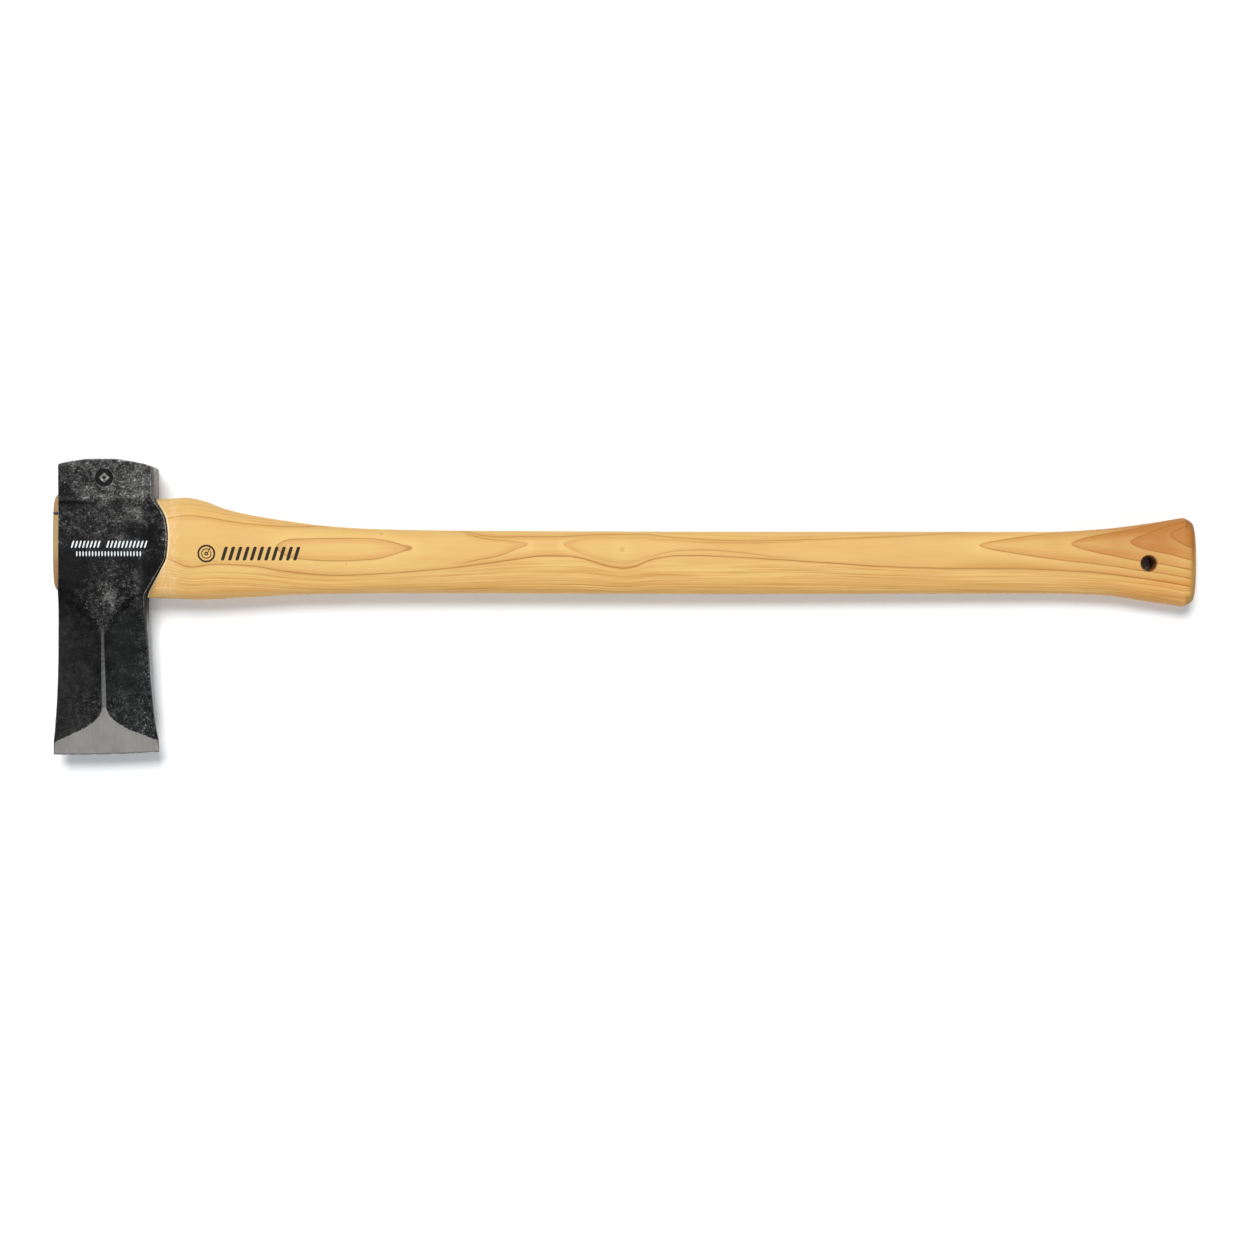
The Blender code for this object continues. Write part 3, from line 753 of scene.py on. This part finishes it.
def grip_blank():
    """Neck, grip and knob, from inside the head to the knob's domed end."""
    last_depth = KNOB_END[-1][0]
    rings = [grip_ring(x) for x in np.linspace(GRIP_START_X, KNOB_END_X - last_depth, 380)[:-1]]
    depths = bunched(0, last_depth, 26, 1.4)[::-1]
    rings += [grip_ring(KNOB_END_X - depth, knob_inset(depth)) for depth in depths]
    return loft("handle_wood", rings)


def tongue_blank(name):
    """The tongue that fills the eye, standing proud of the head with a crowned top."""
    last_depth = TONGUE_CROWN[-1][0]
    depths = bunched(0, last_depth, 14, 1.6)
    rings = [eye_ring(TONGUE_TOP_X + depth, FIT_GAP + tongue_inset(depth)) for depth in depths]
    rings += [eye_ring(x, FIT_GAP) for x in np.linspace(TONGUE_TOP_X + last_depth, TONGUE_ROOT_X, 60)[1:]]
    return loft(name, rings)


def tapered_slab(name, middle, top, tip, start_x, end_x, reach, across, steps=8):
    """A slab that thins from start_x to end_x. Its broad faces look along Z, or along Y if across is set."""
    rings = []
    for t in np.linspace(0, 1, steps):
        half = (top + (tip - top) * t) / 2
        corners = [(-half, -reach), (half, -reach), (half, reach), (-half, reach)]
        x = start_x + (end_x - start_x) * t
        rings.append([(x, middle + a, b) if across else (x, middle + b, a) for a, b in corners])
    return loft(name, rings)


def wedge_slab(name, gap):
    """The wooden wedge's taper, or the kerf around it where gap is set, running out past the tongue's top."""
    run_out = 4.0
    top = WEDGE_TOP + (WEDGE_TOP - WEDGE_TIP) / WEDGE_LENGTH * run_out + 2 * gap
    return tapered_slab(name, eye_middle(0.0), top, WEDGE_TIP + 2 * gap, TONGUE_TOP_X - run_out,
                        TONGUE_TOP_X + WEDGE_LENGTH + 4 * gap, 45.0, across=False)


def steel_slab(name, gap):
    """The steel wedge, or the split that it opens in the tongue where gap is set."""
    run_out = 4.0 if gap else 0.0
    top = STEEL_TOP + (STEEL_TOP - STEEL_TIP) / STEEL_LENGTH * run_out + 2 * gap
    start_x = TONGUE_TOP_X + STEEL_SET_BACK
    return tapered_slab(name, STEEL_Y, top, STEEL_TIP + 2 * gap, start_x - run_out,
                        start_x + STEEL_LENGTH + 2 * gap, 20.0 if gap else STEEL_HALF_WIDTH, across=True)


def hang_hole_cutter():
    """The hole through the knob, with its mouth rounded over on both sides."""
    reach = KNOB_HALF + 3.0
    heights = np.concatenate([bunched(reach, KNOB_HALF - 2.4, 16, 0.8), [0.0]])
    heights = np.concatenate([heights, -heights[-2::-1]])
    rings = []
    for z in heights:
        radius = HANG_RADIUS + HANG_FLARE * np.clip((abs(z) - KNOB_HALF + 2.2) / 2.2, 0, 3) ** 2
        angle = 2 * np.pi * np.arange(64) / 64
        circle = [HANG_X + radius * np.cos(angle), HANG_Y + radius * np.sin(angle), np.full(64, z)]
        rings.append(np.stack(circle, axis=1))
    return loft("hang_hole_cutter", rings)


def make_handle():
    handle = grip_blank()
    room = head_shell("head_room", ROOM_COUNTS, grow=NECK_GAP, detailed=False)
    boolean(handle, room, "DIFFERENCE")
    boolean(handle, tongue_blank("tongue"), "UNION")
    boolean(handle, wedge_slab("kerf", FIT_GAP), "DIFFERENCE")
    boolean(handle, steel_slab("split", FIT_GAP), "DIFFERENCE")
    boolean(handle, hang_hole_cutter(), "DIFFERENCE")
    points = points_of(handle)
    ring = growth(points)
    give_numbers(handle, "ring", ring)
    give_numbers(handle, "slope", growth_slope(points, normals_of(handle)))
    give_numbers(handle, "strength", line_strength(points, ring))
    give_numbers(handle, "rim", points[:, 0] - grip_side(points[:, 1]))
    drifted = points + growth_drift(points)
    for name, (line, _) in LONG_LINES.items():
        give_numbers(handle, name, drifted[:, 1] - line(points[:, 0]))
    return handle


def between_lines(points):
    """Whether each point is on the front between the two long growth lines, and how far inside it is."""
    x, y, z = points.T
    inside = np.minimum(y - lower_line(x), upper_line(x) - y)
    return (z > 0) & (inside > 0), inside


def growth_drift(points):
    """How far the growth lines wander up or down from their even course."""
    drift = 0.35 * lumps(points * (1, 0, 0), 38.0, 11) + 0.14 * lumps(points * (1, 0.5, 0.5), 9.0, 12)
    return np.stack([0 * drift, drift, 0 * drift], axis=1)


def growth(points):
    """How many growth rings lie outside each point, counted from the two long growth lines on the front."""
    points = points + growth_drift(points)
    x, y, z = points.T
    top, bottom = back_line(x), belly_line(x)
    middle, half_height = (top + bottom) / 2, (top - bottom) / 2
    low, high = lower_line(x), upper_line(x)

    def from_pith(line):
        out = np.clip(abs(line - middle) / half_height, 0, 1)
        height = grip_half(x) * (1 - out ** GRIP_POWER) ** (1 / GRIP_POWER)
        return np.hypot(np.clip(line, bottom, top) - PITH_Y, height - PITH_Z)

    def between(line):
        share = (line - low) / (high - low)
        peak = peak_place(x)
        away = np.where(share < peak, (peak - share) / peak, (share - peak) / (1 - peak))
        rise = np.clip(1 - np.clip(away, 0, 1) ** (2 - 0.4 * smoothstep(x, 560, 620)), 0, 1)
        crossed = rings_between(x) * rise
        crossed = np.where(x < 600, np.minimum(crossed, 1.5), crossed)
        return crossed + 0.5 * island(x) * rise

    side = smoothstep((y - low) / (high - low))
    start = (1 - side) * from_pith(low) + side * from_pith(high)
    at_edge = side * np.where(high > top, between(np.minimum(high, top)), 0.0)
    away = (np.hypot(y - PITH_Y, z - PITH_Z) - start) / RING_WIDTH
    swell = 2.6 * lumps(np.stack([x, 0 * x, 0 * x], axis=1), 105.0, 13)
    behind = smoothstep(-z, 4, 13) * swell
    outside = at_edge - away - 0.35 * np.sin(1.3 * away) + behind
    return np.where(between_lines(points)[0], between(y), outside)


def growth_slope(points, normals):
    """How many growth rings are crossed in a millimetre along the surface."""
    along = np.zeros_like(points)
    along[:, 0] = 1.0
    around = np.cross(normals, along)
    around /= np.maximum(np.linalg.norm(around, axis=1), 1e-3)[:, None]
    step = 0.4
    rises = [growth(points + step * way) - growth(points - step * way) for way in (along, around)]
    return np.clip(np.hypot(*rises) / (2 * step), 0.012, 1.5)


def line_strength(points, ring):
    """How dark the growth line nearest to each point is, from 0 to 1."""
    x, y, _ = points.T
    nearest = np.floor(ring + 0.5).astype(int)
    fine = np.random.default_rng(7).uniform(0.0, 0.4, 64)[nearest % 64]
    fine = fine * np.where(y > upper_line(x), 0.5, 1.0)
    inner = 0.75 * (1 - 0.70 * smoothstep(x, 255, 315) * smoothstep(x, 600, 575))
    inner = inner * (1 - smoothstep(x, 376, 392) * smoothstep(x, 602, 590))
    between, inside = between_lines(points)
    doubled = between & (inside < 2.6) & (x < 250)
    strength = np.where(nearest > 0, inner, np.where(between | (nearest == 0), 0.0, fine))
    return np.where(doubled, 0.0, strength)


def knob_zones(surface):
    """The knob and its darker top, each from 0 to 1."""
    knob = surface.x.step(*KNOB_TONE_X)
    return knob, knob * surface.y.step(*KNOB_TOP_Y)


def growth_figure(surface, wood):
    """The handle's figure: how much deeper its colour is, and how strong its growth lines are."""
    x, ring, slope = surface.x, surface.number("ring"), surface.number("slope")
    knob, knob_top = knob_zones(surface)
    share = x.step(120, 640) * 0.06 + knob * 0.24 + knob_top * 0.62
    past_line = ring.math("FRACT")
    to_line = 1 - past_line
    nearest = past_line.least(to_line) / slope
    width = 0.24 + wood.fibre * 0.05
    strength = surface.number("strength") * (1 + wood.streak * 0.15)
    line = (nearest - width).step(0.34, -0.2) * strength
    front = surface.z.step(2, 5)
    second = x.window(372, 388, 450, 505)
    for name, (_, darkness) in LONG_LINES.items():
        from_line = abs(surface.number(name)) - width
        shown = front * darkness * (second if "second" in name else 1)
        line = line.most(from_line.step(0.34, -0.2) * shown * (1 + wood.streak * 0.12))
        share += from_line.step(1.6, 0) * shown * 0.25
    figure = ring.step(-0.5, -0.1)
    drawn = figure * (1 - x.window(374, 392, 580, 602))
    bands = surface.noise_at(surface.vector(x * 0.010, ring * 1.5), 4, 0.62) - 0.5
    threads = surface.noise_at(surface.vector(x * 0.014, ring * 5.4, 7), 2, 0.6)
    fine = threads.step(0.55, 0.64) * 0.36 - threads.step(0.46, 0.36) * 0.22
    share += (bands * 1.6 + fine - 0.06) * (1 - figure)
    share += (past_line / slope).step(9, 0) * drawn * 0.28
    share -= (to_line / slope).step(7, 0) * drawn * 0.20
    share += nearest.step(1.2, 0) * strength * 0.25
    for knot_x, knot_y, radius, depth in KNOTS:
        away = surface.distance(knot_x, knot_y)
        core = (away + wood.fibre * 0.2).step(radius, 0.3 * radius) * depth
        share += (core - away.step(radius * 5, radius) * 0.12) * front
    return share, line


def handle_details(surface, color, end_tone):
    """The sanded neck, a painted highlight along the wood at the head, the knob's end and painted shade in the
    bore of the hang hole.
    """
    x, y = surface.x, surface.y
    _, knob_top = knob_zones(surface)
    color = color.shade(1 - 0.08 * knob_top)
    ragged = x + (surface.noise((0.2, 0.12, 0.12), detail=3, shift=2) - 0.5) * 12
    rasped = surface.noise((0.5, 0.22, 0.22), detail=3, roughness=0.7, shift=14)
    sanded = ragged.step(52, 48) * x.step(30, 38)
    color = (sanded * (0.06 + rasped.step(0.42, 0.62) * 0.30)).mix(color, SANDED_WOOD)
    # Painted highlight: a cream line on the wood along the lug rim, standing in for its lit edge.
    color = (surface.number("rim").step(2.1, 1.3) * 0.7).mix(color, RIM_HIGHLIGHT)
    corner = x.step(751.6, 752.4) * abs(y - 0.5).step(22, 26)
    end_face = x.step(757.2, 758.2)
    end_color = end_face.mix(y.step(-8, 12).mix(*KNOB_EDGE), KNOB_FACE)
    end_color = end_color.shade(1 + (end_tone - 1) * end_face * 1.4)
    color = (corner * 0.75).most(x.step(753.5, 756.9) * 0.90).mix(color, end_color)
    # Painted shade: the bore of the hang hole is darkened to a dark brown.
    bore = surface.distance(HANG_X, HANG_Y).step(HANG_RADIUS + 0.9, HANG_RADIUS + 0.2)
    return (bore * abs(surface.z).step(16.5, 14) * 0.8).mix(color, BORE_SHADE)


def wood_material(name, light, deep, line_color, with_figure=True):
    """Oiled hickory: a golden ground with fibre streaks and pores and, on the handle, its growth lines."""
    surface = Surface(name)
    x, y = surface.x, surface.y
    wood = SimpleNamespace(streak=surface.swing((0.010, 0.40, 0.40), detail=4, roughness=0.6),
                           fibre=surface.swing((0.045, 1.6, 1.6), detail=3, roughness=0.65, shift=9))
    cloud = surface.swing((0.014, 0.055, 0.055), shift=21)
    pores = surface.noise((0.09, 3.8, 3.8), roughness=0.6, shift=4)
    share = 0.16 + wood.streak * 0.06 + cloud * 0.06
    if with_figure:
        deeper, line = growth_figure(surface, wood)
        share += deeper
    else:
        line = wood.streak.step(0.4, 1.6) * 0.3
    # Painted light: the handle's lower side is deepened in colour and lightened, to offset the shade that falls
    # there.
    low = y.step(-6, -17)
    color = (share + low * 0.20).mix(light, deep)
    color = color.shade(1 + wood.fibre * 0.022 + wood.streak * 0.018 + low * 0.14)
    pore_line = pores.step(0.60, 0.72) * (0.08 + 0.30 * line.step(0, 0.6))
    color = pore_line.mix(color, line_color)
    color = (line * 0.66).mix(color, line_color)

    across, up = surface.z - PITH_Z, y - PITH_Y
    rings = (across * across + up * up).math("SQRT") / RING_WIDTH
    arc = (rings + cloud * 0.15).math("FRACT")
    dots = surface.noise((0.3, 2.6, 2.6), roughness=0.6, shift=61).step(0.56, 0.66)
    end_tone = 0.90 + arc * 0.22 - arc.step(0.80, 0.95) * 0.34 - dots * 0.22
    if with_figure:
        color = handle_details(surface, color, end_tone)
    below = y.step(0, 5).mix(TONGUE_LOW, TONGUE_MIDDLE)
    end_color = y.step(STEEL_Y - 0.5, STEEL_Y + 0.5).mix(below, TONGUE_TOP)
    end_color = end_color.shade(end_tone * 0.60)
    surface.set(base_color=(x.step(-26, -34) * 0.85).mix(color, end_color))
    surface.set(roughness=0.55 + wood.fibre * 0.02 + line * 0.1, specular_ior_level=0.18)
    surface.bump(wood.fibre * 0.06 - line * 0.5 - pore_line * 0.6, 0.12)
    return surface.material


# Wedges

def make_wooden_wedge():
    wedge = wedge_slab("wooden_wedge_wood", 0.0)
    boolean(wedge, tongue_blank("tongue_outline"), "INTERSECT")
    boolean(wedge, steel_slab("split", FIT_GAP), "DIFFERENCE")
    return wedge


def make_steel_wedge():
    wedge = steel_slab("steel_wedge_plate", 0.0)
    bevel = wedge.modifiers.new("eased_edges", "BEVEL")
    bevel.width = 0.2
    bevel.segments = 2
    apply_modifiers(wedge)
    return wedge


def steel_material():
    surface = Surface("wedge_steel")
    scratch = surface.noise((0.2, 2.5, 2.5), detail=4, roughness=0.7)
    stain = surface.noise(0.4, detail=3)
    surface.set(base_color=stain.mix(*WEDGE_STEEL))
    surface.set(metallic=0.5, roughness=0.38 + (scratch - 0.5) * 0.3)
    surface.bump(scratch, 0.1)
    return surface.material


# Prints

PRINT_HEIGHT = 0.05
PRINT_DEPTH = 0.15
PRINT_STEP = 0.8


def rim_of(sheet):
    """The point numbers around the border of a sheet."""
    return np.concatenate([sheet[:, 0], sheet[-1, 1:], sheet[-2::-1, -1], sheet[0, -2:0:-1]])


def printed_patches(name, target, patches):
    """Thin closed patches laid on the front of a piece. Each patch is a grid of (X, Y) points."""
    tree = BVHTree.FromObject(target, bpy.context.evaluated_depsgraph_get())
    points, faces = [], []
    for patch in patches:
        patch = np.asarray(patch, float)
        top, bottom = len(points) + np.arange(2 * patch[..., 0].size).reshape(2, *patch.shape[:2])
        for offset in (PRINT_HEIGHT, -PRINT_DEPTH):
            for x, y in patch.reshape(-1, 2):
                hit = tree.ray_cast(Vector((x, y, 100.0)), Vector((0, 0, -1)))[0]
                points.append((x, y, hit.z + offset))
        upper, lower = rim_of(top), rim_of(bottom)
        wall = np.stack([upper, lower, np.roll(lower, -1), np.roll(upper, -1)], axis=1)
        leaves = np.stack([quads_of(top), quads_of(bottom)[:, [0, 3, 2, 1]]], axis=1).reshape(-1, 4)
        faces += [*leaves.tolist(), *wall.tolist()]
    return closed_object(name, points, faces)


def block(left, right, low, high):
    """A rectangular patch with its corners a little rounded."""
    columns, rows = (max(3, int(size / PRINT_STEP) + 1) for size in (right - left, high - low))
    xs, ys = np.linspace(left, right, columns), np.linspace(low, high, rows)
    grid = np.stack(np.meshgrid(xs, ys), axis=-1)
    middle = np.array([(left + right) / 2, (low + high) / 2])
    for i, j in ((0, 0), (0, -1), (-1, 0), (-1, -1)):
        grid[i, j] += 0.25 * np.sign(middle - grid[i, j])
    return grid


def bars(left, right, low, high, width, pitch, lean=0.0):
    """A row of equal bars that lean sideways by a share of their height."""
    shift = lean * (high - low)
    count = int((right - left - width - abs(shift)) / pitch) + 1
    row = []
    for i in range(count):
        bar = block(left + i * pitch, left + i * pitch + width, low, high)
        bar[..., 0] += lean * (bar[..., 1] - low)
        row.append(bar)
    return row


def ring_patch(x, y, inner, outer, start, end, count=40):
    """Part of a round band, between two angles in degrees."""
    angles = np.radians(np.linspace(start, end, count))
    radii = np.array([inner, (inner + outer) / 2, outer])
    return np.stack([x + np.outer(np.cos(angles), radii), y + np.outer(np.sin(angles), radii)], axis=-1)


def print_material(name, color, rough_edge):
    surface = Surface(name)
    wear = surface.noise(1.6, detail=3, roughness=0.7)
    worn = wear.step(0.5, 0.8) * rough_edge
    surface.set(base_color=worn.mix(color, tuple(part * 0.6 for part in color)))
    surface.set(roughness=0.6 + (wear - 0.5) * 0.2, specular_ior_level=0.1)
    return surface.material


def make_cheek_print(head):
    """Two plain rows: leaning bars above short upright ones."""
    patches = bars(-23.1, -0.4, 9.9, 15.1, 1.1, 2.6, 0.3) + bars(1.4, 30.2, 9.9, 15.1, 1.1, 2.6, 0.3)
    patches += bars(-19.3, 26.4, 4.1, 7.9, 0.9, 2.2)
    return printed_patches("cheek_print", head, patches)


def make_handle_print(handle):
    """A log end with its rings and one check, as a plain pictogram, then a row of leaning bars."""
    x, y = 70.2, 6.2
    patches = [ring_patch(x, y, 4.9, 6.2, 0, 360), ring_patch(x, y, 2.9, 3.6, 60, 390)]
    patches += [ring_patch(x, y, 0.5, 1.4, 0, 360), bars(x + 0.9, x + 8, y + 0.7, y + 4.6, 0.8, 20, 0.35)[0]]
    patches += bars(80.0, 136.0, 1.4, 11.0, 2.4, 5.0, 0.3)
    return printed_patches("handle_print", handle, patches)


# Room, light and camera

def painted_object(name, points, faces, surface):
    mesh = bpy.data.meshes.new(name)
    mesh.from_pydata(points, [], faces)
    mesh.materials.append(surface.material)
    return add_object(name, mesh)


def make_floor():
    surface = Surface("pale_floor")
    surface.set(base_color=surface.noise(0.004).mix((0.97, 0.97, 0.97), (0.98, 0.98, 0.98)))
    surface.set(roughness=0.9, specular_ior_level=0.1)
    half = 4.0
    corners = [(-half, -half, 0), (half, -half, 0), (half, half, 0), (-half, half, 0)]
    floor = painted_object("floor", corners, [(0, 1, 2, 3)], surface)


def make_backdrop():
    """A white room that only the camera sees, so that no view ends at the floor's far edge."""
    surface = Surface("white_backdrop")
    surface.set(base_color=(0.0, 0.0, 0.0), emission_color=(1.0, 1.0, 1.0), emission_strength=1.0)
    half = 15.0
    corners = [(x, y, z) for x in (-half, half) for y in (-half, half) for z in (-0.1, half)]
    sides = [(0, 1, 3, 2), (4, 6, 7, 5), (0, 4, 5, 1), (2, 3, 7, 6), (1, 5, 7, 3), (0, 2, 6, 4)]
    backdrop = painted_object("backdrop", corners, sides, surface)
    for ray in ("diffuse", "glossy", "transmission", "volume_scatter", "shadow"):
        setattr(backdrop, "visible_" + ray, False)


def add_panel(name, place, size, power, color=(1.0, 1.0, 1.0)):
    """A soft square light that faces the maul."""
    light = bpy.data.lights.new(name, "AREA")
    light.color = color
    light.shape = "SQUARE"
    light.size = size
    light.energy = power
    lamp = add_object(name, light)
    lamp.location = place
    lamp.rotation_euler = (-Vector(place)).to_track_quat("-Z", "Y").to_euler()


def make_light():
    world = bpy.data.worlds.new("studio")
    world.use_nodes = True
    background = world.node_tree.nodes["Background"]
    background.inputs["Color"].default_value = (0.90, 1.0, 1.10, 1.0)
    background.inputs["Strength"].default_value = 0.14
    bpy.context.scene.world = world
    add_panel("key", (-1.0, 3.7, 7.6), 3.8, 765.0)
    add_panel("front_fill", (0.3, -4.6, 6.8), 4.0, 268.0, (0.97, 1.0, 1.03))


def make_camera():
    """Looks straight down on the maul, as in a product picture."""
    view_x, view_y, height = 359.1, -41.65, 2.4
    camera = bpy.data.cameras.new("camera")
    camera.sensor_width = 36.0
    camera.lens = 99.2
    obj = add_object("camera", camera)
    obj.location = PLACE @ Vector((view_x, view_y, 0.0)) + Vector((0.0, 0.0, height))
    bpy.context.scene.camera = obj
    bpy.context.scene.view_settings.view_transform = "Standard"


def main():
    head = make_head()
    handle = make_handle()
    cheek_print = make_cheek_print(head)
    handle_print = make_handle_print(handle)
    hickory = wood_material("hickory", *HICKORY)
    wedge_wood = wood_material("wedge_wood", *WEDGE_WOOD, with_figure=False)
    finish_piece(head, head_material(), "maul_head")
    finish_piece(handle, hickory, "handle")
    finish_piece(make_wooden_wedge(), wedge_wood, "wooden_wedge")
    finish_piece(make_steel_wedge(), steel_material(), "steel_wedge")
    finish_piece(cheek_print, print_material("white_print", WHITE_INK, 0.7))
    finish_piece(handle_print, print_material("brown_print", BROWN_INK, 0.3))
    make_floor()
    make_backdrop()
    make_light()
    make_camera()


main()
